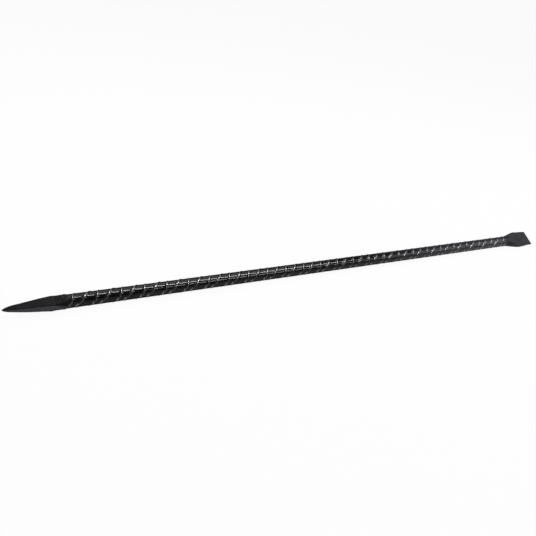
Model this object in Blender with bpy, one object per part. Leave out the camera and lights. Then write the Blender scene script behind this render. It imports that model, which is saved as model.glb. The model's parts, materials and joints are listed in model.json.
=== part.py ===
# Straight pry bar forged from one length of ribbed reinforcing bar.
# Model space: the bar's axis runs along X, the point is at -X and the blade at +X, +Z is up.
# All sizes are in metres.

import math

import bmesh
import bpy
from mathutils import Matrix

# Overall sizes.
OVERALL_LENGTH = 1.500
POINT_LENGTH = 0.122
BLADE_LENGTH = 0.110
SEAT_GAP = 0.0003

# The ribbed bar: core, transverse ribs and the two lengthwise ribs.
CORE_DIAMETER = 0.0280
RIB_HEIGHT = 0.0017
RIB_WIDTH = 0.0034
RIB_SPACING = 0.02497
STEEP_RIB_ANGLE = math.radians(60)
SHALLOW_RIB_ANGLE = math.radians(42)
BACK_RIB_ANGLE = math.radians(55)
FIRST_FRONT_RIB = 0.0090
FIRST_BACK_RIB = 0.0036
RIB_END_CLEARANCE = 0.0005
SIDE_RIB_HEIGHT = 0.0015
SIDE_RIB_WIDTH = 0.0026
SIDE_RIB_SETBACK = 0.0005

# The forged point: a square taper that blends back to the round bar.
POINT_SQUARE_SIDE = 0.0232
POINT_TAPER_LENGTH = 0.092
POINT_END_SIDE = 0.0060
POINT_TIP_SIDE = 0.0020
POINT_TIP_LENGTH = 0.004
POINT_CORNER_RADIUS = 0.0012
POINT_TAPER_BULGE = 0.9

# The forged blade: the round bar flattens and flares to a shoulder, then thins to the edge.
BLADE_NECK_LENGTH = 0.012
BLADE_FLAT_LENGTH = 0.050
BLADE_SHOULDER_WIDTH = 0.0465
BLADE_SHOULDER_THICKNESS = 0.0090
BLADE_END_WIDTH = 0.0435
BLADE_END_THICKNESS = 0.0035
BLADE_EDGE_THICKNESS = 0.0015
BLADE_BEVEL_LENGTH = 0.004
BLADE_CORNER_RADIUS = 0.0006

# Number of flats round the bar and its ribs, and steps in the forged ends.
BAR_SIDES = 14
CORNER_STEPS = 6
BLEND_STEPS = 8
TAPER_STEPS = 6

# Places along the bar, measured from the tip of the point.
CORE_RADIUS = CORE_DIAMETER / 2
SHANK_START = POINT_LENGTH
SHANK_END = OVERALL_LENGTH - BLADE_LENGTH
SHANK_LENGTH = SHANK_END - SHANK_START

# A transverse rib is a crescent: a disc a little off the bar's centre that meets the core
# at the lengthwise ribs and stands proud by the rib height at the crown of its row.
# The disc is twisted, so that the rib runs round the bar at its angle as a thread does.
CROWN_RADIUS = CORE_RADIUS + RIB_HEIGHT
RIB_DISC_RADIUS = (CROWN_RADIUS + CORE_RADIUS ** 2 / CROWN_RADIUS) / 2
RIB_DISC_OFFSET = CROWN_RADIUS - RIB_DISC_RADIUS

COLLECTION_NAME = "pry_bar"
CUTTER_COLLECTION_NAME = "pry_bar_cutters"


def clear_scene():
    for item in list(bpy.data.objects):
        bpy.data.objects.remove(item, do_unlink=True)


def new_collection(name):
    collection = bpy.data.collections.new(name)
    bpy.context.scene.collection.children.link(collection)
    return collection


def steel_material(name, colour, roughness, metallic):
    material = bpy.data.materials.new(name)
    material.use_nodes = True
    shader = material.node_tree.nodes["Principled BSDF"]
    shader.inputs["Base Color"].default_value = (*colour, 1.0)
    shader.inputs["Roughness"].default_value = roughness
    shader.inputs["Metallic"].default_value = metallic
    return material


def add_object(name, bm, collection, parent, material=None):
    mesh = bpy.data.meshes.new(name)
    bm.to_mesh(mesh)
    bm.free()
    item = bpy.data.objects.new(name, mesh)
    item.parent = parent
    collection.objects.link(item)
    if material:
        mesh.materials.append(material)
    return item


def shade_round(item, angle=math.radians(35)):
    item.data.shade_smooth()
    item.data.set_sharp_from_angle(angle=angle)


def roll_to_rest():
    """Roll about the axis at which a blade corner and the shank's ribs touch the ground together."""
    reach = BLADE_SHOULDER_WIDTH / 2 - BLADE_CORNER_RADIUS
    rise = BLADE_SHOULDER_THICKNESS / 2 - BLADE_CORNER_RADIUS - RIB_DISC_OFFSET
    drop = RIB_DISC_RADIUS - BLADE_CORNER_RADIUS
    return math.asin(drop / math.hypot(reach, rise)) - math.atan2(rise, reach)


def axis_height(angle):
    """Height of the axis above the ground: what reaches lowest, the ribs or a corner of the point."""
    rib_drop = RIB_DISC_OFFSET * math.cos(angle) + RIB_DISC_RADIUS
    corner = POINT_SQUARE_SIDE / 2 - POINT_CORNER_RADIUS
    point_drop = corner * (math.sin(angle) + math.cos(angle)) + POINT_CORNER_RADIUS
    return max(rib_drop, point_drop)


def add_disc(bm, radius, length, centre_x, centre_z=0.0, lean=0.0):
    """Adds a round piece along X; with a lean it is twisted by lean metres of X per metre round the core.

    Its flats lie at the radius, and one of them faces the ground once the bar is rolled to rest.
    """
    half_turn = math.pi / BAR_SIDES
    rim = radius / math.cos(half_turn)
    spin = Matrix.Rotation(math.pi / 2 + half_turn - roll_to_rest(), 4, "X") @ Matrix.Rotation(math.pi / 2, 4, "Y")
    disc = bmesh.ops.create_cone(
        bm,
        cap_ends=True,
        cap_tris=lean != 0.0,
        segments=BAR_SIDES,
        radius1=rim,
        radius2=rim,
        depth=length,
        matrix=Matrix.Translation((centre_x, 0.0, centre_z)) @ spin,
    )
    for vert in disc["verts"]:
        side_way = math.asin(max(-1.0, min(1.0, vert.co.y / rim)))
        vert.co.x += lean * CORE_RADIUS * side_way


def cut_square(bm, x, keep):
    """Cuts a closed solid square at x and keeps what lies on one side (keep = 1 for +X)."""
    everything = bm.verts[:] + bm.edges[:] + bm.faces[:]
    cut = bmesh.ops.bisect_plane(
        bm, geom=everything, plane_co=(x, 0.0, 0.0), plane_no=(-keep, 0.0, 0.0), clear_outer=True
    )
    rim = [item for item in cut["geom_cut"] if isinstance(item, bmesh.types.BMEdge)]
    if rim:
        bmesh.ops.triangle_fill(bm, use_beauty=True, use_dissolve=False, edges=rim)


def rib_lean(angle):
    """How far a rib moves along X for each metre round the bar."""
    return 1 / math.tan(angle)


def rib_row(name, side, angles, first_rib, collection, parent):
    """One row of crescent ribs on the +Z side (side = 1) or the -Z side (side = -1).

    The first rib's crown lies first_rib from the shank's start, and the angles take turns.
    Ribs that would pass an end of the shank are cut square a little before it.
    """
    row = bpy.data.meshes.new(name)
    bm = bmesh.new()
    start = SHANK_START + RIB_END_CLEARANCE
    end = SHANK_END - RIB_END_CLEARANCE
    index = 0
    x = SHANK_START + first_rib
    while x + RIB_WIDTH <= end:
        angle = angles[index % len(angles)]
        rib = bmesh.new()
        add_disc(rib, RIB_DISC_RADIUS, RIB_WIDTH / math.sin(angle), x, side * RIB_DISC_OFFSET, rib_lean(angle))
        cut_square(rib, start, 1)
        cut_square(rib, end, -1)
        rib.to_mesh(row)
        rib.free()
        bm.from_mesh(row)
        index += 1
        x = SHANK_START + first_rib + index * RIB_SPACING
    bpy.data.meshes.remove(row)
    return add_object(name, bm, collection, parent)


def side_ribs(collection, parent):
    """The two lengthwise ribs, on the -Y and +Y sides between the two rows."""
    bm = bmesh.new()
    length = SHANK_LENGTH - 2 * SIDE_RIB_SETBACK
    width = 2 * (CORE_RADIUS + SIDE_RIB_HEIGHT)
    centre = Matrix.Translation(((SHANK_START + SHANK_END) / 2, 0.0, 0.0))
    bmesh.ops.create_cube(bm, size=1.0, matrix=centre @ Matrix.Diagonal((length, width, SIDE_RIB_WIDTH, 1)))
    return add_object("side_ribs", bm, collection, parent)


def join_to(item, other):
    """Welds another shape to this one; both are one piece of steel."""
    union = item.modifiers.new("join_" + other.name, "BOOLEAN")
    union.operation = "UNION"
    union.solver = "EXACT"
    union.object = other
    other.hide_render = True
    other.display_type = "WIRE"


def build_shank(parts, cutters, axis, material):
    bm = bmesh.new()
    add_disc(bm, CORE_RADIUS, SHANK_LENGTH, (SHANK_START + SHANK_END) / 2)
    shank = add_object("ribbed_shank", bm, parts, axis, material)
    front_angles = (STEEP_RIB_ANGLE, SHALLOW_RIB_ANGLE)
    join_to(shank, rib_row("front_ribs", 1, front_angles, FIRST_FRONT_RIB, cutters, axis))
    join_to(shank, rib_row("back_ribs", -1, (BACK_RIB_ANGLE,), FIRST_BACK_RIB, cutters, axis))
    join_to(shank, side_ribs(cutters, axis))
    shade_round(shank)
    return shank


def blend(start, end, share):
    return start + (end - start) * share


def ease(share):
    """Runs from 0 to 1 and leaves both ends level."""
    return share * share * (3 - 2 * share)


def section_ring(bm, x, half_width, half_height, corner_radius):
    """One closed ring of points across the bar: a rectangle with round corners, or a circle."""
    verts = []
    for corner in range(4):
        start = corner * math.pi / 2
        centre_y = (half_width - corner_radius) * (1 if corner in (0, 3) else -1)
        centre_z = (half_height - corner_radius) * (1 if corner in (0, 1) else -1)
        for step in range(CORNER_STEPS + 1):
            angle = start + step / CORNER_STEPS * math.pi / 2
            y = centre_y + corner_radius * math.cos(angle)
            z = centre_z + corner_radius * math.sin(angle)
            verts.append(bm.verts.new((x, y, z)))
    return [bm.edges.new((verts[i - 1], verts[i])) for i in range(len(verts))]


def loft(stations):
    """Bridges a row of sections (x, half width, half height, corner radius) into a closed body."""
    bm = bmesh.new()
    rings = [section_ring(bm, *station) for station in stations]
    for near, far in zip(rings, rings[1:]):
        bmesh.ops.bridge_loops(bm, edges=near + far)
    bmesh.ops.contextual_create(bm, geom=rings[0])
    bmesh.ops.contextual_create(bm, geom=rings[-1])
    bmesh.ops.remove_doubles(bm, verts=bm.verts, dist=0.000001)
    bmesh.ops.recalc_face_normals(bm, faces=bm.faces)
    return bm


def point_stations():
    stations = [(0.0, POINT_TIP_SIDE / 2, POINT_TIP_SIDE / 2, POINT_TIP_SIDE / 4)]
    for step in range(TAPER_STEPS + 1):
        share = step / TAPER_STEPS
        x = blend(POINT_TIP_LENGTH, POINT_TAPER_LENGTH, share)
        half_side = blend(POINT_END_SIDE, POINT_SQUARE_SIDE, share ** POINT_TAPER_BULGE) / 2
        stations.append((x, half_side, half_side, POINT_CORNER_RADIUS))
    seat = POINT_LENGTH - SEAT_GAP
    for step in range(1, BLEND_STEPS + 1):
        share = step / BLEND_STEPS
        x = blend(POINT_TAPER_LENGTH, seat, share)
        half_side = blend(POINT_SQUARE_SIDE / 2, CORE_RADIUS, ease(share))
        stations.append((x, half_side, half_side, blend(POINT_CORNER_RADIUS, CORE_RADIUS, share)))
    return stations


def blade_stations():
    seat = SHANK_END + SEAT_GAP
    stations = [(seat, CORE_RADIUS, CORE_RADIUS, CORE_RADIUS)]
    neck_end = SHANK_END + BLADE_NECK_LENGTH
    shoulder = OVERALL_LENGTH - BLADE_FLAT_LENGTH
    for step in range(BLEND_STEPS + 1):
        share = step / BLEND_STEPS
        x = blend(neck_end, shoulder, share)
        half_width = blend(CORE_RADIUS, BLADE_SHOULDER_WIDTH / 2, ease(share))
        half_height = blend(CORE_RADIUS, BLADE_SHOULDER_THICKNESS / 2, ease(share))
        radius = blend(CORE_RADIUS, BLADE_CORNER_RADIUS, ease(share))
        stations.append((x, half_width, half_height, radius))
    bevel_start = OVERALL_LENGTH - BLADE_BEVEL_LENGTH
    stations.append((bevel_start, BLADE_END_WIDTH / 2, BLADE_END_THICKNESS / 2, BLADE_CORNER_RADIUS))
    stations.append((OVERALL_LENGTH, BLADE_END_WIDTH / 2, BLADE_EDGE_THICKNESS / 2, BLADE_CORNER_RADIUS))
    return stations


clear_scene()
part_collection = new_collection(COLLECTION_NAME)
cutter_collection = new_collection(CUTTER_COLLECTION_NAME)

roll = roll_to_rest()
bar_axis = bpy.data.objects.new("bar_axis", None)
part_collection.objects.link(bar_axis)
bar_axis.rotation_euler = (roll, 0.0, 0.0)
bar_axis.location = (-OVERALL_LENGTH / 2, 0.0, axis_height(roll))

gloss_enamel = steel_material("black_enamel_gloss", (0.012, 0.012, 0.014), 0.28, 0.0)
point_enamel = steel_material("black_enamel_point", (0.018, 0.018, 0.019), 0.55, 0.0)
blade_enamel = steel_material("black_enamel_blade", (0.030, 0.030, 0.034), 0.60, 0.0)

build_shank(part_collection, cutter_collection, bar_axis, gloss_enamel)
shade_round(add_object("forged_point", loft(point_stations()), part_collection, bar_axis, point_enamel))
shade_round(add_object("chisel_blade", loft(blade_stations()), part_collection, bar_axis, blade_enamel))
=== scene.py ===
import json
import math

import bmesh
import bpy
from mathutils import Matrix, Vector, noise


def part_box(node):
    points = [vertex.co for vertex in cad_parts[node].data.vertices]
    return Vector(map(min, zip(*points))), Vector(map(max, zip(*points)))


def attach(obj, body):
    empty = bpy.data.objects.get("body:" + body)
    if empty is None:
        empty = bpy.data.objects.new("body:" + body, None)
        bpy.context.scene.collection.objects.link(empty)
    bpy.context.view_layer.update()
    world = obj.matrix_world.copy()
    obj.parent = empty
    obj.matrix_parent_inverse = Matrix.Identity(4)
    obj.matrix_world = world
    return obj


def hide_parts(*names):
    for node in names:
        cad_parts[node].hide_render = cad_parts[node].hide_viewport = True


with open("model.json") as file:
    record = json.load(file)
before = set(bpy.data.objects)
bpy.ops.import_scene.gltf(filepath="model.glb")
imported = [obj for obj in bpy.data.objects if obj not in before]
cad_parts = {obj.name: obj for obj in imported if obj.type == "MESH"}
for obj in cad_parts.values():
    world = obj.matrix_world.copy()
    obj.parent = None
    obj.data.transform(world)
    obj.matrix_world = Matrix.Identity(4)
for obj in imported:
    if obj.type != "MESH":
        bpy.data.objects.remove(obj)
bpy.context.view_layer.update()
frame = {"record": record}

# Ribbed shank: hot rolled reinforcing bar, 28 mm nominal, which is also the handle. Each side has
# a row of crescent ribs, and a lengthwise rib parts the rows. The front row's ribs lean steep and
# shallow in turn, and the back row's all lean alike. Black gloss enamel, rougher towards the blade,
# where a painted sheen also greys its colour.

MM = 0.001
CORE_RADIUS = 14.0 * MM
RIB_HEIGHT = 1.7 * MM
RIB_SPACING = 24.97 * MM
RIB_TOP = 0.85 * MM
RIB_FOOT = 2.9 * MM
LEAST_FOOT_SHAPE = 0.1
RIB_UNEVENNESS = 0.10
STEEP_ANGLE = math.radians(63)
SHALLOW_ANGLE = math.radians(46)
BACK_ANGLE = math.radians(55)
TYPICAL_LEAN = 0.85
FIRST_FRONT = 9.0 * MM
FIRST_BACK = 3.6 * MM
SIDE_RIB_HEIGHT = 1.5 * MM
SIDE_RIB_TOP = 0.8 * MM
SIDE_RIB_FOOT = 2.2 * MM
SIDE_RIB_FADE = 26 * MM
SIDE_RIB_WANDER = 0.12 * MM
SIDE_RIB_UNEVENNESS = 0.12
RIB_FILLET = 0.22 * MM
WAVE_HEIGHT = 0.07 * MM
GRAIN_HEIGHT = 0.025 * MM
POINT_BARE = 84 * MM
POINT_FADE = 50 * MM
BLADE_BARE = 62 * MM
BLADE_FADE = 46 * MM

# How often each kind of unevenness comes round: in a metre, from rib to rib, or in a radian.
RIB_TO_RIB = 1.7
WEAR_RATE = 90
WEAR_TURN_RATE = 2.2
WANDER_RATE = 30
FLASH_RATE = 55
WAVE_RATE = 25
WAVE_ROUND_RATE = 90
GRAIN_RATE = 420

shank_low, shank_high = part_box("ribbed_shank")
TIP_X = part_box("forged_point")[0].x
EDGE_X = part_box("chisel_blade")[1].x
SHANK_START = shank_low.x
SHANK_END = shank_high.x
AXIS_HEIGHT = (shank_low.z + shank_high.z) / 2

# The blade's flats lean as the whole bar does, so their mount tells how far it has rolled.
flat_mount = next(m for m in frame["record"]["mounts"] if m["name"] == "blade_upper_flat")
ROLL = math.atan2(-flat_mount["axis"][1], flat_mount["axis"][2])
LAY_DOWN = Matrix.Translation((0, 0, AXIS_HEIGHT)) @ Matrix.Rotation(ROLL, 4, "X")

# A crescent rib is part of a disc a little off the bar's axis.
CROWN_RADIUS = CORE_RADIUS + RIB_HEIGHT
DISC_RADIUS = (CROWN_RADIUS + CORE_RADIUS ** 2 / CROWN_RADIUS) / 2
DISC_OFFSET = CROWN_RADIUS - DISC_RADIUS


def smooth_noise(along, across, kind):
    """Noise from about -1 to 1; the kind is any number that keeps one use apart from the others."""
    return noise.noise(Vector((along, across, kind)))


def rib_lean(angle):
    """How far a rib runs along X for each millimetre round the bar."""
    return 1 / math.tan(angle)


def front_rib(number):
    """Crown position and angle of a rib of the front row; 0 is the first whole rib."""
    angle = STEEP_ANGLE if number % 2 == 0 else SHALLOW_ANGLE
    return SHANK_START + FIRST_FRONT + number * RIB_SPACING, angle


def back_rib(number):
    return SHANK_START + FIRST_BACK + number * RIB_SPACING, BACK_ANGLE


def ease(share):
    """Runs from 0 to 1 and leaves both ends level."""
    share = min(max(share, 0.0), 1.0)
    return share * share * (3 - 2 * share)


def flank(distance, top, foot):
    """1 on a rib's top, 0 past its foot: a straight slope between a round shoulder and a fillet."""
    bend = 0.18
    share = min(max((abs(distance) - top) / (foot - top), 0.0), 1.0)
    if share < bend:
        return 1 - share * share / (2 * bend * (1 - bend))
    if share > 1 - bend:
        return (1 - share) ** 2 / (2 * bend * (1 - bend))
    return 1 - (share - bend / 2) / (1 - bend)


def crescent(turn):
    """A rib's height over the core at a turn away from its crown, as a share of its full height."""
    across = DISC_OFFSET * math.sin(turn)
    reach = DISC_OFFSET * math.cos(turn) + math.sqrt(DISC_RADIUS ** 2 - across ** 2)
    return max(reach - CORE_RADIUS, 0.0) / RIB_HEIGHT


def hammered_flat(x):
    """How much of the ribs is left at a place along the bar: none on the forged ends."""
    from_point = ease((x - TIP_X - POINT_BARE) / POINT_FADE)
    from_blade = ease((EDGE_X - BLADE_BARE - x) / BLADE_FADE)
    return from_point * from_blade


def row_place(turn):
    """The row that a turn round the bar lies in, and the turn from that row's crown towards +Y."""
    if math.cos(turn) >= 0:
        return front_rib, math.remainder(turn, 2 * math.pi)
    return back_rib, math.remainder(math.pi - turn, 2 * math.pi)


def rib_foot(shape):
    """Half width of a rib at its foot: it narrows a little as the rib gets lower."""
    return RIB_TOP + (RIB_FOOT - RIB_TOP) * math.sqrt(max(shape, LEAST_FOOT_SHAPE))


def rib_rise(x, turn):
    """Height of the cross ribs, 0 to about 1, at x and a turn from +Z towards +Y."""
    row, crown_turn = row_place(turn)
    around = CORE_RADIUS * crown_turn
    shape = crescent(crown_turn)
    if shape <= 0.0:
        return 0.0
    best = 0.0
    foot = rib_foot(shape)
    nearest = round((x - row(0)[0] - around * TYPICAL_LEAN) / RIB_SPACING)
    for number in (nearest - 1, nearest, nearest + 1):
        crown_x, angle = row(number)
        distance = (x - crown_x - around * rib_lean(angle)) * math.sin(angle)
        if abs(distance) < foot:
            seed = 3.1 if row is front_rib else 8.3
            uneven = 1 + RIB_UNEVENNESS * smooth_noise(number * RIB_TO_RIB, seed, 0.0)
            worn = 1 + RIB_UNEVENNESS * smooth_noise(crown_x * WEAR_RATE, turn * WEAR_TURN_RATE, 5.0)
            best = max(best, flank(distance, RIB_TOP, foot) * uneven * worn)
    return best * shape * hammered_flat(x)


def side_rise(x, turn):
    """Height of the lengthwise ribs, 0 to about 1."""
    away = CORE_RADIUS * (math.pi / 2 - abs(math.atan2(math.sin(turn), math.cos(turn))))
    side = math.copysign(1.0, math.sin(turn))
    wander = SIDE_RIB_WANDER * smooth_noise(x * WANDER_RATE, side * 4.0, 1.0)
    from_point = ease((x - SHANK_START + SIDE_RIB_FADE) / SIDE_RIB_FADE)
    from_blade = ease((SHANK_END + SIDE_RIB_FADE - x) / SIDE_RIB_FADE)
    uneven = 1 + SIDE_RIB_UNEVENNESS * smooth_noise(x * FLASH_RATE, side * 2.0, 9.0)
    return flank(away + wander, SIDE_RIB_TOP, SIDE_RIB_FOOT) * (from_point * from_blade) * uneven


def skin_unevenness(x, turn):
    """Rolling marks and scale under the paint: long shallow waves with a finer grain."""
    around = Vector((0.0, math.sin(turn), math.cos(turn))) * CORE_RADIUS
    long_wave = noise.noise(Vector((x * WAVE_RATE, 0, 0)) + around * WAVE_ROUND_RATE)
    grain = noise.noise(Vector((x * GRAIN_RATE, 0, 0)) + around * GRAIN_RATE)
    return WAVE_HEIGHT * long_wave + GRAIN_HEIGHT * grain


def join_heights(cross, lengthwise):
    """The higher of two heights, with a small fillet where they meet."""
    gap = cross - lengthwise
    return (cross + lengthwise + math.hypot(gap, RIB_FILLET) - RIB_FILLET) / 2


def bar_surface(x, turn):
    """Height of the rolled surface over the plain core, and how far each kind of rib rises there."""
    cross = rib_rise(x, turn)
    lengthwise = side_rise(x, turn)
    height = join_heights(cross * RIB_HEIGHT, lengthwise * SIDE_RIB_HEIGHT)
    return height + skin_unevenness(x, turn), cross, lengthwise


SIDE_TOP_LINES = [0.0, 0.6, 1.0]
SIDE_FLANK_LINES = [0.3, 0.6]


def both_sides(half):
    """The places of mesh lines from a rib's middle outwards, and the same again on its other side."""
    return [-place for place in reversed(half[1:])] + half


def round_lines(row_steps):
    """Turns of the mesh lines round the bar: even over each row, close together on the side ribs."""
    foot_turn = SIDE_RIB_FOOT / CORE_RADIUS
    row_span = math.pi - 2 * foot_turn
    flank_lines = [1.0 + (SIDE_RIB_FOOT / SIDE_RIB_TOP - 1.0) * share for share in SIDE_FLANK_LINES]
    half = [place * SIDE_RIB_TOP / CORE_RADIUS for place in SIDE_TOP_LINES + flank_lines]
    side = both_sides(half)
    turns = []
    for centre in (0.0, math.pi):
        turns += [centre - row_span / 2 + row_span * step / row_steps for step in range(row_steps + 1)]
        turns += [centre + math.pi / 2 + turn for turn in side]
    return turns


def tube(length_lines, row_steps):
    """An open tube of unit rings, one per length line: a grid rolled up and welded. Also its turns."""
    turns = round_lines(row_steps)
    bm = bmesh.new()
    bmesh.ops.create_grid(bm, x_segments=length_lines - 1, y_segments=len(turns), size=0.5)
    for vert in bm.verts:
        roll = (vert.co.y + 0.5) * 2 * math.pi
        vert.co = ((vert.co.x + 0.5) * (length_lines - 1), math.sin(roll), math.cos(roll))
    bmesh.ops.remove_doubles(bm, verts=bm.verts, dist=0.001)
    return bm, turns


def tube_place(vert, count):
    """Length line and round line of a tube's vertex."""
    share = math.atan2(vert.co.y, vert.co.z) / (2 * math.pi)
    return round(vert.co.x), round(share * count) % count


def close_ends(bm):
    """Fills the two end rings with flat faces."""
    open_edges = [edge for edge in bm.edges if len(edge.link_faces) == 1]
    bmesh.ops.holes_fill(bm, edges=open_edges)
    bmesh.ops.recalc_face_normals(bm, faces=bm.faces)


SHARP_EDGE = math.radians(50)


def finish_piece(name, bm, material, node, fields):
    """Lays the piece down on the ground, makes its object and ties it to the frame.

    Fields are the values at each point that its material reads, such as a rib's height.
    """
    bmesh.ops.transform(bm, matrix=LAY_DOWN, verts=bm.verts)
    mesh = bpy.data.meshes.new(name)
    bm.to_mesh(mesh)
    bm.free()
    mesh.shade_smooth()
    mesh.set_sharp_from_angle(angle=SHARP_EDGE)
    for label, values in fields.items():
        attribute = mesh.attributes.new(label, "FLOAT", "POINT")
        attribute.data.foreach_set("value", values)
    piece = bpy.data.objects.new(name, mesh)
    bpy.context.scene.collection.objects.link(piece)
    mesh.materials.append(material)
    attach(piece, "root")
    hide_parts(node)
    return piece


# Mesh lines across a rib: up to 1 on its top, and from 1 to 2 down its flank. Four more part a gap.
RIB_LINES = both_sides([0.0, 0.6, 1.0, 1.2, 1.4, 1.6, 1.8, 2.0])
GAP_SHARES = (0.2, 0.4, 0.6, 0.8)


def shank_lines():
    """One entry per mesh line: a rib, with the line's offset on it or its share of the gap after it."""
    last = int((SHANK_END - front_rib(0)[0]) / RIB_SPACING) + 1
    lines = []
    for number in range(-1, last + 1):
        lines += [(number - 1, None, share) for share in GAP_SHARES]
        lines += [(number, offset, None) for offset in RIB_LINES]
    lines += [(last, None, share) for share in GAP_SHARES]
    return lines


def line_x(line, row, crown_turn):
    """Where a mesh line crosses the bar when it follows one row's ribs."""
    foot = rib_foot(crescent(crown_turn))

    def rib_x(number, offset):
        crown_x, angle = row(number)
        away = min(abs(offset), 1.0) * RIB_TOP + max(abs(offset) - 1.0, 0.0) * (foot - RIB_TOP)
        middle = crown_x + CORE_RADIUS * crown_turn * rib_lean(angle)
        return middle + math.copysign(away, offset) / math.sin(angle)

    number, offset, share = line
    if share is None:
        return rib_x(number, offset)
    start = rib_x(number, 2.0)
    return start + (rib_x(number + 1, -2.0) - start) * share


SHANK_ROW_STEPS = 28
LEAST_PITCH = 0.01 * MM
lines = shank_lines()
shank_bm, shank_turns = tube(len(lines), SHANK_ROW_STEPS)
shank_rib_rise = []
shank_side_rise = []
for vert in shank_bm.verts:
    line_number, round_number = tube_place(vert, len(shank_turns))
    turn = shank_turns[round_number]
    front_share = ease((math.cos(turn) * CORE_RADIUS / SIDE_RIB_FOOT + 1) / 2)
    side_way = math.asin(math.sin(turn))
    x = line_x(lines[line_number], back_rib, side_way)
    x += (line_x(lines[line_number], front_rib, side_way) - x) * front_share
    x = max(x, SHANK_START + line_number * LEAST_PITCH)
    x = min(x, SHANK_END - (len(lines) - 1 - line_number) * LEAST_PITCH)
    height, cross, lengthwise = bar_surface(x, turn)
    radius = CORE_RADIUS + height
    shank_rib_rise.append(cross)
    shank_side_rise.append(lengthwise)
    vert.co = (x, radius * math.sin(turn), radius * math.cos(turn))
close_ends(shank_bm)


def new_material(name):
    """A new material, with its node tree and its shader."""
    material = bpy.data.materials.new(name)
    material.use_nodes = True
    return material, material.node_tree, material.node_tree.nodes["Principled BSDF"]


def add_node(tree, kind, **values):
    """A node with its settings, or input values where a keyword starts with in_."""
    node = tree.nodes.new(kind)
    for key, value in values.items():
        if key.startswith("in_"):
            node.inputs[key[3:].replace("_", " ")].default_value = value
        else:
            setattr(node, key, value)
    return node


def noise_field(tree, scale, roughness, detail=3.0, stretch=(1, 1, 1)):
    """Noise on Object coordinates, stretched along an axis where asked."""
    place = add_node(tree, "ShaderNodeTexCoord")
    mapping = add_node(tree, "ShaderNodeMapping", in_Scale=stretch)
    field = add_node(
        tree, "ShaderNodeTexNoise", in_Scale=scale, in_Detail=detail, in_Roughness=roughness
    )
    tree.links.new(place.outputs["Object"], mapping.inputs["Vector"])
    tree.links.new(mapping.outputs["Vector"], field.inputs["Vector"])
    return field.outputs["Fac"]


def remap(tree, value, reach, result=(0.0, 1.0)):
    """Turns a value's reach, from low to high, into a result's, with both ends level."""
    node = add_node(tree, "ShaderNodeMapRange", interpolation_type="SMOOTHSTEP")
    tree.links.new(value, node.inputs["Value"])
    for key, number in zip(("From Min", "From Max", "To Min", "To Max"), (*reach, *result)):
        node.inputs[key].default_value = number
    return node.outputs["Result"]


def maths(tree, operation, first, second):
    """A sum, product or the like of two values, each a socket or a number."""
    node = add_node(tree, "ShaderNodeMath", operation=operation)
    for socket, value in zip(node.inputs, (first, second)):
        if isinstance(value, float):
            socket.default_value = value
        else:
            tree.links.new(value, socket)
    return node.outputs["Value"]


def mix_colours(tree, factor, first, second):
    """From the first colour to the second, each a socket or three numbers.

    A Mix node takes its two colours at inputs 6 and 7 and gives the mixed one at output 2.
    """
    node = add_node(tree, "ShaderNodeMix", data_type="RGBA")
    tree.links.new(factor, node.inputs["Factor"])
    for socket, value in zip((node.inputs[6], node.inputs[7]), (first, second)):
        if isinstance(value, tuple):
            socket.default_value = (*value, 1.0)
        else:
            tree.links.new(value, socket)
    return node.outputs[2]


def attribute_value(tree, name):
    return add_node(tree, "ShaderNodeAttribute", attribute_name=name).outputs["Fac"]


def bump(tree, height, distance, strength, under=None):
    """Relief of a fine height, on top of another relief where there is one under it."""
    node = add_node(tree, "ShaderNodeBump", in_Distance=distance, in_Strength=strength)
    tree.links.new(height, node.inputs["Height"])
    if under:
        tree.links.new(under, node.inputs["Normal"])
    return node.outputs["Normal"]


GLOSS_BLACK = (0.0015, 0.0015, 0.0018)
THIN_BLACK = (0.0040, 0.0040, 0.0046)
DUST_GREY = (0.030, 0.030, 0.033)
PAINTED_SHEEN_GREY = (0.029, 0.028, 0.036)
DUST_COVER = 0.45
ENAMEL_ROUGHNESS = (0.10, 0.19)
HAZE_ROUGHENS = 0.08
DUST_ROUGHENS = 0.14
PAINT_IOR = 1.25
POOLED_IOR_RISE = 1.0
POLISHED_IOR_RISE = 0.45
HAZE_AND_SHEEN_START = 0.0
HAZE_AND_SHEEN_END = 0.62
POOLED_BELOW = 22.0 * MM
UNPOOLED_ABOVE = 25.5 * MM
PEEL_DEPTH = 0.4 * MM
SCALE_DEPTH = 0.08 * MM

gloss_paint, tree, shader = new_material("gloss_black_paint")
rib_mask = attribute_value(tree, "rib_rise")
side_mask = attribute_value(tree, "side_rise")
object_place = add_node(tree, "ShaderNodeTexCoord")
bar_place = add_node(tree, "ShaderNodeSeparateXYZ")
tree.links.new(object_place.outputs["Object"], bar_place.inputs["Vector"])

# The enamel is thin in clouds and dusty on the tops of the ribs. Towards the blade it is rougher,
# and its colour greys there as a painted sheen.
mottle = noise_field(tree, 55.0, roughness=0.6, detail=4.0, stretch=(0.5, 1, 1))
speckle = noise_field(tree, 900.0, roughness=0.6, detail=2.0)
any_top = remap(tree, maths(tree, "MAXIMUM", rib_mask, side_mask), (0.55, 1.0))
dusty_top = maths(tree, "MULTIPLY", any_top, remap(tree, speckle, (0.42, 0.62), (0.25, 1.0)))
haze_and_painted_sheen = remap(tree, bar_place.outputs["X"], (HAZE_AND_SHEEN_START, HAZE_AND_SHEEN_END))
haze_and_painted_sheen = maths(tree, "MULTIPLY", haze_and_painted_sheen, remap(tree, mottle, (0.30, 0.60), (0.65, 1.0)))
colour = mix_colours(tree, remap(tree, mottle, (0.35, 0.70)), GLOSS_BLACK, THIN_BLACK)
colour = mix_colours(tree, maths(tree, "MULTIPLY", dusty_top, DUST_COVER), colour, DUST_GREY)
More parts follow.
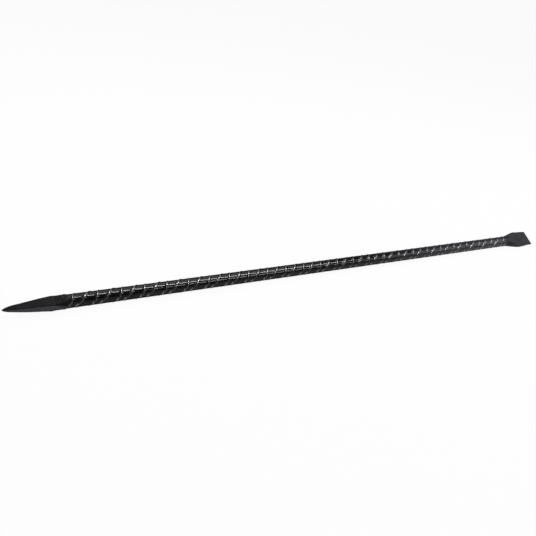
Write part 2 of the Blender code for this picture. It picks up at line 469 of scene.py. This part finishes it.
# Painted sheen: the colour greys towards the blade, standing in for the lighter reflections there.
colour = mix_colours(tree, haze_and_painted_sheen, colour, PAINTED_SHEEN_GREY)
tree.links.new(colour, shader.inputs["Base Color"])
roughness = remap(tree, mottle, (0.3, 0.75), ENAMEL_ROUGHNESS)
roughness = maths(tree, "ADD", roughness, maths(tree, "MULTIPLY", haze_and_painted_sheen, HAZE_ROUGHENS))
roughness = maths(tree, "ADD", roughness, maths(tree, "MULTIPLY", dusty_top, DUST_ROUGHENS))
tree.links.new(roughness, shader.inputs["Roughness"])

# It ran down and pooled thick along the feet of the ribs on the lower side, and handling has
# polished the tops of the ribs.
foot_start = remap(tree, rib_mask, (0.01, 0.06))
foot_end = remap(tree, rib_mask, (0.20, 0.50), (1.0, 0.0))
lower_side = remap(tree, bar_place.outputs["Z"], (POOLED_BELOW, UNPOOLED_ABOVE), (1.0, 0.0))
pooled = maths(tree, "MULTIPLY", maths(tree, "MULTIPLY", foot_start, foot_end), lower_side)
polished = remap(tree, rib_mask, (0.75, 0.95))
pooled_rise = maths(tree, "MULTIPLY", pooled, POOLED_IOR_RISE)
polished_rise = maths(tree, "MULTIPLY", polished, POLISHED_IOR_RISE)
gloss = maths(tree, "ADD", pooled_rise, polished_rise)
tree.links.new(maths(tree, "ADD", gloss, PAINT_IOR), shader.inputs["IOR"])

orange_peel = noise_field(tree, 260.0, roughness=0.55, stretch=(0.6, 1, 1))
scale_grain = noise_field(tree, 1100.0, roughness=0.65)
normal = bump(tree, orange_peel, PEEL_DEPTH, strength=0.10)
normal = bump(tree, scale_grain, SCALE_DEPTH, strength=0.2, under=normal)
tree.links.new(normal, shader.inputs["Normal"])

shank = finish_piece(
    "ribbed_shank_surface",
    shank_bm,
    gloss_paint,
    "ribbed_shank",
    {"rib_rise": shank_rib_rise, "side_rise": shank_side_rise},
)

# Forged point: the end of the bar, hammered hot to a square taper with a blunt tip. Blow marks
# cover its four faces, and the ribs fade out under them. Satin black enamel; the faces that lie
# undermost are painted paler and bluer, a painted reflection of the floor.

POINT_SIDE = 23.2 * MM
POINT_TAPER = 92 * MM
POINT_BULGE = 0.85
POINT_CORNER = 1.2 * MM
POINT_END_SIDE = 8.5 * MM
POINT_TIP_SIDE = 1.8 * MM
POINT_TIP_LENGTH = 10.0 * MM
POINT_TIP_BULGE = 0.7
POINT_TIP_ROUNDING = 0.6
POINT_BLOWS = 64
POINT_BLOWS_START = 6 * MM
POINT_BLOWS_LENGTH = 106 * MM
POINT_BLOWS_SEED = 0.31
BLOW_SIZES = (6.5 * MM, 11.5 * MM)
BLOW_DEPTHS = (0.10 * MM, 0.26 * MM)
NEARLY_ROUND = 0.55
FORGED_ROW_STEPS = 56
LINE_PITCH = 0.8 * MM
CORNER_SHARE = 4 * MM


def mix(start, end, share):
    return start + (end - start) * share


def section_place(turn, half_width, half_height, corner):
    """A point on a rectangle with round corners, and its outward direction, for a turn round the bar.

    The corners get more than their share of the turn, so that they stay finely divided.
    """
    side_y = 1 if math.sin(turn) >= 0 else -1
    side_z = 1 if math.cos(turn) >= 0 else -1
    share = math.atan2(abs(math.sin(turn)), abs(math.cos(turn))) / (math.pi / 2)
    flat_y = half_width - corner
    flat_z = half_height - corner
    extra = CORNER_SHARE * min((flat_y + flat_z) / (2 * corner), 1.0)
    arc = corner * math.pi / 2 + extra
    along = share * (flat_y + arc + flat_z)
    if along < flat_y:
        y, z, out = along, half_height, 0.0
    elif along < flat_y + arc:
        out = (along - flat_y) / arc * math.pi / 2
        y = flat_y + corner * math.sin(out)
        z = flat_z + corner * math.cos(out)
    else:
        y, z, out = half_width, flat_z - (along - flat_y - arc), math.pi / 2
    direction = Vector((0, side_y * math.sin(out), side_z * math.cos(out)))
    return side_y * y, side_z * z, direction


def blow_marks(count, start, length, seed):
    """Places, sizes and depths of hammer blows over a length and round the bar.

    Each value steps by a fraction that never comes round again, so the blows are spread evenly
    but form no pattern.
    """
    marks = []
    for number in range(count):
        along = (number * 0.6180340 + seed) % 1.0
        around = (number * 0.7548777 + seed * 1.7) % 1.0
        size = mix(*BLOW_SIZES, (number * 0.5698403 + seed) % 1.0)
        depth = mix(*BLOW_DEPTHS, (number * 0.3819660 + seed) % 1.0)
        marks.append((start + along * length, around * 2 * math.pi, size, depth))
    return marks


def blow_depth(x, turn, reach, marks):
    """How deep the blows have driven the surface at a place, where the section's half size is reach."""
    depth = 0.0
    for mark_x, mark_turn, size, deepest in marks:
        away_x = (x - mark_x) / size
        if abs(away_x) >= 1:
            continue
        away_turn = math.remainder(turn - mark_turn, 2 * math.pi) * reach / size
        spread = away_x * away_x + away_turn * away_turn
        if spread < 1:
            depth += deepest * (1 - spread) ** 2
    return depth


def forge(start, end, section, marks):
    """A forged end from start to end along X, and how far each of its points faces down.

    The section at x gives its half width, half height and corner radius.
    """
    count = round((end - start) / LINE_PITCH) + 1
    bm, turns = tube(count, FORGED_ROW_STEPS)
    undersides = []
    for vert in bm.verts:
        line_number, round_number = tube_place(vert, len(turns))
        x = start + (end - start) * line_number / (count - 1)
        turn = turns[round_number]
        half_width, half_height, corner = section(x)
        y, z, outward = section_place(turn, half_width, half_height, corner)
        forged = 1 - ease((corner / CORE_RADIUS - NEARLY_ROUND) / (1 - NEARLY_ROUND))
        rise = bar_surface(x, turn)[0]
        rise -= forged * blow_depth(x, turn, (half_width + half_height) / 2, marks)
        undersides.append(max(-(LAY_DOWN.to_3x3() @ outward).z, 0.0))
        vert.co = Vector((x, y, z)) + outward * rise
    close_ends(bm)
    return bm, undersides


def point_section(x):
    """The square taper, and its blend back to the round bar."""
    away = x - TIP_X
    if away < POINT_TIP_LENGTH:
        share = (away / POINT_TIP_LENGTH) ** POINT_TIP_BULGE
        half = mix(POINT_TIP_SIDE, POINT_END_SIDE, share) / 2
        return half, half, min(POINT_CORNER, half * POINT_TIP_ROUNDING)
    if away < POINT_TAPER:
        share = (away - POINT_TIP_LENGTH) / (POINT_TAPER - POINT_TIP_LENGTH)
        half = mix(POINT_END_SIDE, POINT_SIDE, share ** POINT_BULGE) / 2
        return half, half, POINT_CORNER
    share = (away - POINT_TAPER) / (SHANK_START - TIP_X - POINT_TAPER)
    half = mix(POINT_SIDE / 2, CORE_RADIUS, ease(share))
    return half, half, mix(POINT_CORNER, CORE_RADIUS, min(share, 1.0))


point_marks = blow_marks(
    POINT_BLOWS, TIP_X + POINT_BLOWS_START, POINT_BLOWS_LENGTH, POINT_BLOWS_SEED
)
point_bm, point_undersides = forge(TIP_X, SHANK_START, point_section, point_marks)


FORGED_PAINT_IOR = 1.15
DENT_DEPTH = 0.8 * MM
STREAK_DEPTH = 0.3 * MM
PIT_DEPTH = 0.09 * MM


def forged_paint(name, deep, pale, painted_underside, gloss, matt):
    """Enamel over hammered scale: deep in the dents and pale between them, with streaks and pits.

    What faces down takes a painted underside colour: a painted reflection on the point, painted
    shade on the blade. Gloss and matt are the least and greatest roughness.
    """
    material, tree, shader = new_material(name)
    clouds = noise_field(tree, 48.0, roughness=0.62, detail=5.0)
    streaks = noise_field(tree, 150.0, roughness=0.6, stretch=(0.35, 1, 1))
    pits = noise_field(tree, 1300.0, roughness=0.7)
    cloud_share = maths(tree, "MULTIPLY", clouds, 0.6)
    streak_share = maths(tree, "MULTIPLY", streaks, 0.4)
    tone = maths(tree, "ADD", cloud_share, streak_share)
    colour = mix_colours(tree, remap(tree, tone, (0.36, 0.66)), deep, pale)
    under = remap(tree, attribute_value(tree, "underside"), (0.15, 0.45))
    under = maths(tree, "MULTIPLY", under, remap(tree, tone, (0.30, 0.60), (0.6, 1.0)))
    # Painted light: what faces down takes the underside colour, paler on the point and darker on the
    # blade.
    colour = mix_colours(tree, under, colour, painted_underside)
    tree.links.new(colour, shader.inputs["Base Color"])
    tree.links.new(remap(tree, tone, (0.34, 0.68), (gloss, matt)), shader.inputs["Roughness"])
    shader.inputs["IOR"].default_value = FORGED_PAINT_IOR
    normal = bump(tree, clouds, DENT_DEPTH, strength=0.3)
    normal = bump(tree, streaks, STREAK_DEPTH, strength=0.45, under=normal)
    normal = bump(tree, pits, PIT_DEPTH, strength=0.6, under=normal)
    tree.links.new(normal, shader.inputs["Normal"])
    return material


POINT_DEEP_BLACK = (0.004, 0.004, 0.005)
POINT_PALE_BLACK = (0.012, 0.012, 0.014)
# Painted reflection: paler and bluer on the faces that look down, as the floor would light them.
POINT_UNDERSIDE_PAINTED_REFLECTION = (0.060, 0.060, 0.072)
POINT_GLOSS = 0.38
POINT_MATT = 0.58

point_colours = (POINT_DEEP_BLACK, POINT_PALE_BLACK, POINT_UNDERSIDE_PAINTED_REFLECTION)
point_paint = forged_paint("point_black_paint", *point_colours, POINT_GLOSS, POINT_MATT)
point = finish_piece(
    "forged_point_surface", point_bm, point_paint, "forged_point", {"underside": point_undersides}
)

# Chisel blade: the other end, hammered flat and wide, then ground to a thin edge. Its neck still
# shows the last ribs, flattened. Matt black enamel, greyer than on the point.

BLADE_NECK = 12 * MM
BLADE_FLAT = 50 * MM
SHOULDER_WIDTH = 46.5 * MM
SHOULDER_THICKNESS = 9.0 * MM
END_WIDTH = 43.5 * MM
END_THICKNESS = 3.5 * MM
EDGE_THICKNESS = 1.5 * MM
BEVEL_LENGTH = 4.0 * MM
BLADE_CORNER = 0.6 * MM
BLADE_BLOWS = 70
BLADE_BLOWS_START = 8 * MM
BLADE_BLOWS_LENGTH = 92 * MM
BLADE_BLOWS_SEED = 0.77
BLADE_DEEP_BLACK = (0.020, 0.019, 0.024)
BLADE_PALE_BLACK = (0.040, 0.039, 0.047)
# Painted shade: a little darker and bluer on the faces that look down.
BLADE_UNDERSIDE_PAINTED_SHADE = (0.024, 0.023, 0.029)
BLADE_GLOSS = 0.45
BLADE_MATT = 0.62


def blade_section(x):
    """The neck, which widens from the start and flattens after it, then the wedge and its bevel."""
    neck_end = SHANK_END + BLADE_NECK
    shoulder = EDGE_X - BLADE_FLAT
    bevel = EDGE_X - BEVEL_LENGTH
    if x < shoulder:
        widened = ease((x - SHANK_END) / (shoulder - SHANK_END))
        flattened = ease((x - neck_end) / (shoulder - neck_end))
        half_width = mix(CORE_RADIUS, SHOULDER_WIDTH / 2, widened)
        half_height = mix(CORE_RADIUS, SHOULDER_THICKNESS / 2, flattened)
        return half_width, half_height, mix(CORE_RADIUS, BLADE_CORNER, flattened)
    if x < bevel:
        share = (x - shoulder) / (bevel - shoulder)
        half_width = mix(SHOULDER_WIDTH, END_WIDTH, share) / 2
        return half_width, mix(SHOULDER_THICKNESS, END_THICKNESS, share) / 2, BLADE_CORNER
    share = (x - bevel) / BEVEL_LENGTH
    return END_WIDTH / 2, mix(END_THICKNESS, EDGE_THICKNESS, share) / 2, BLADE_CORNER


blade_marks = blow_marks(
    BLADE_BLOWS, SHANK_END + BLADE_BLOWS_START, BLADE_BLOWS_LENGTH, BLADE_BLOWS_SEED
)
blade_bm, blade_undersides = forge(SHANK_END, EDGE_X, blade_section, blade_marks)
blade_colours = (BLADE_DEEP_BLACK, BLADE_PALE_BLACK, BLADE_UNDERSIDE_PAINTED_SHADE)
blade_paint = forged_paint("blade_black_paint", *blade_colours, BLADE_GLOSS, BLADE_MATT)
blade = finish_piece(
    "chisel_blade_surface", blade_bm, blade_paint, "chisel_blade", {"underside": blade_undersides}
)

# Studio: a pale paper floor that shows as white and keeps the bar's shadow, wide soft lamps over,
# behind and to the right, two long strips whose reflections run along the bar, and a grey room.

FLOOR_HALF_SIDE = 30.0
PAPER_WHITE = (0.86, 0.86, 0.86, 1)
SHOWN_WHITE = 0.95
ROOM_GREY = (0.5, 0.5, 0.5, 1)
ROOM_BRIGHTNESS = 0.3

scene = bpy.context.scene
floor_bm = bmesh.new()
bmesh.ops.create_grid(floor_bm, x_segments=1, y_segments=1, size=FLOOR_HALF_SIDE)
floor_mesh = bpy.data.meshes.new("floor")
floor_bm.to_mesh(floor_mesh)
floor_bm.free()
floor = bpy.data.objects.new("floor", floor_mesh)
scene.collection.objects.link(floor)

floor_paper = bpy.data.materials.new("floor_paper")
floor_paper.use_nodes = True
tree = floor_paper.node_tree
tree.nodes.clear()
output = add_node(tree, "ShaderNodeOutputMaterial")
matt_paper = add_node(tree, "ShaderNodeBsdfDiffuse", in_Color=PAPER_WHITE)
white_paper = add_node(tree, "ShaderNodeEmission", in_Color=(1, 1, 1, 1), in_Strength=1.0)
rays = add_node(tree, "ShaderNodeLightPath")
seen = maths(tree, "MAXIMUM", rays.outputs["Is Camera Ray"], rays.outputs["Is Glossy Ray"])
seen = maths(tree, "MAXIMUM", seen, rays.outputs["Is Transmission Ray"])
blend = add_node(tree, "ShaderNodeMixShader")
tree.links.new(maths(tree, "MULTIPLY", seen, SHOWN_WHITE), blend.inputs["Fac"])
tree.links.new(matt_paper.outputs["BSDF"], blend.inputs[1])
tree.links.new(white_paper.outputs["Emission"], blend.inputs[2])
tree.links.new(blend.outputs["Shader"], output.inputs["Surface"])
floor_mesh.materials.append(floor_paper)


def add_lamp(name, place, turned, size, brightness):
    """A rectangular lamp at a place, turned; brightness is its radiance, where 1 looks white."""
    lamp = bpy.data.lights.new(name, "AREA")
    lamp.shape = "RECTANGLE"
    lamp.size, lamp.size_y = size
    lamp.energy = brightness * math.pi * size[0] * size[1]
    item = bpy.data.objects.new(name, lamp)
    item.matrix_world = Matrix.Translation(place) @ turned
    scene.collection.objects.link(item)
    return item


def soft_lamp(name, place, aim, size, brightness):
    """A wide lamp that faces its aim."""
    facing = (Vector(place) - Vector(aim)).normalized()
    turned = facing.to_track_quat("Z", "Y").to_matrix().to_4x4()
    add_lamp(name, place, turned, size, brightness)


def strip_lamp(name, start, end, aim, width, brightness):
    """A long lamp between two points, its face turned towards its aim.

    It only shows as a reflection in the enamel, so that the colour keeps a plain light.
    """
    start, end = Vector(start), Vector(end)
    along = (end - start).normalized()
    facing = (start + end) / 2 - Vector(aim)
    facing = (facing - along * facing.dot(along)).normalized()
    turned = Matrix((along, facing.cross(along), facing)).transposed().to_4x4()
    size = ((end - start).length, width)
    item = add_lamp(name, (start + end) / 2, turned, size, brightness)
    item.visible_diffuse = False


MIDDLE = (0.0, 0.0, 0.0)
soft_lamp("soft_over", (0.1, 0.5, 2.6), aim=MIDDLE, size=(3.4, 2.6), brightness=2.2)
soft_lamp("soft_back", (0.0, 1.9, 2.4), aim=MIDDLE, size=(3.0, 1.6), brightness=0.8)
soft_lamp("soft_right", (2.6, -1.1, 1.1), aim=(0.5, 0.0, 0.0), size=(2.4, 1.7), brightness=2.8)
strip_lamp(
    "strip_over",
    (-0.15, -0.30, 1.5),
    (1.25, -0.50, 1.5),
    aim=(0.2, 0.0, 0.0),
    width=0.18,
    brightness=54,
)
strip_lamp(
    "strip_front",
    (0.40, -1.35, 1.25),
    (1.75, -2.3, 1.2),
    aim=MIDDLE,
    width=0.22,
    brightness=27,
)

room = bpy.data.worlds.new("grey_room")
scene.world = room
room.use_nodes = True
room_light = room.node_tree.nodes["Background"]
room_light.inputs["Color"].default_value = ROOM_GREY
room_light.inputs["Strength"].default_value = ROOM_BRIGHTNESS

# The camera stands where the bar's ends and its ribs in the photograph put it.
CAMERA_PLACE = Vector((-1.0437, -1.2117, 0.7376))
CAMERA_AIM = Vector((-0.1643, 0.0, 0.0305))
CAMERA_ROLL = math.radians(9.658)
CAMERA_LENS = 48.88
CAMERA_SENSOR = 36.0

camera_data = bpy.data.cameras.new("camera")
camera_data.lens = CAMERA_LENS
camera_data.sensor_width = CAMERA_SENSOR
camera = bpy.data.objects.new("camera", camera_data)
facing = (CAMERA_PLACE - CAMERA_AIM).to_track_quat("Z", "Y").to_matrix().to_4x4()
camera.matrix_world = Matrix.Translation(CAMERA_PLACE) @ facing @ Matrix.Rotation(CAMERA_ROLL, 4, "Z")
scene.collection.objects.link(camera)
scene.camera = camera
scene.view_settings.view_transform = "Standard"
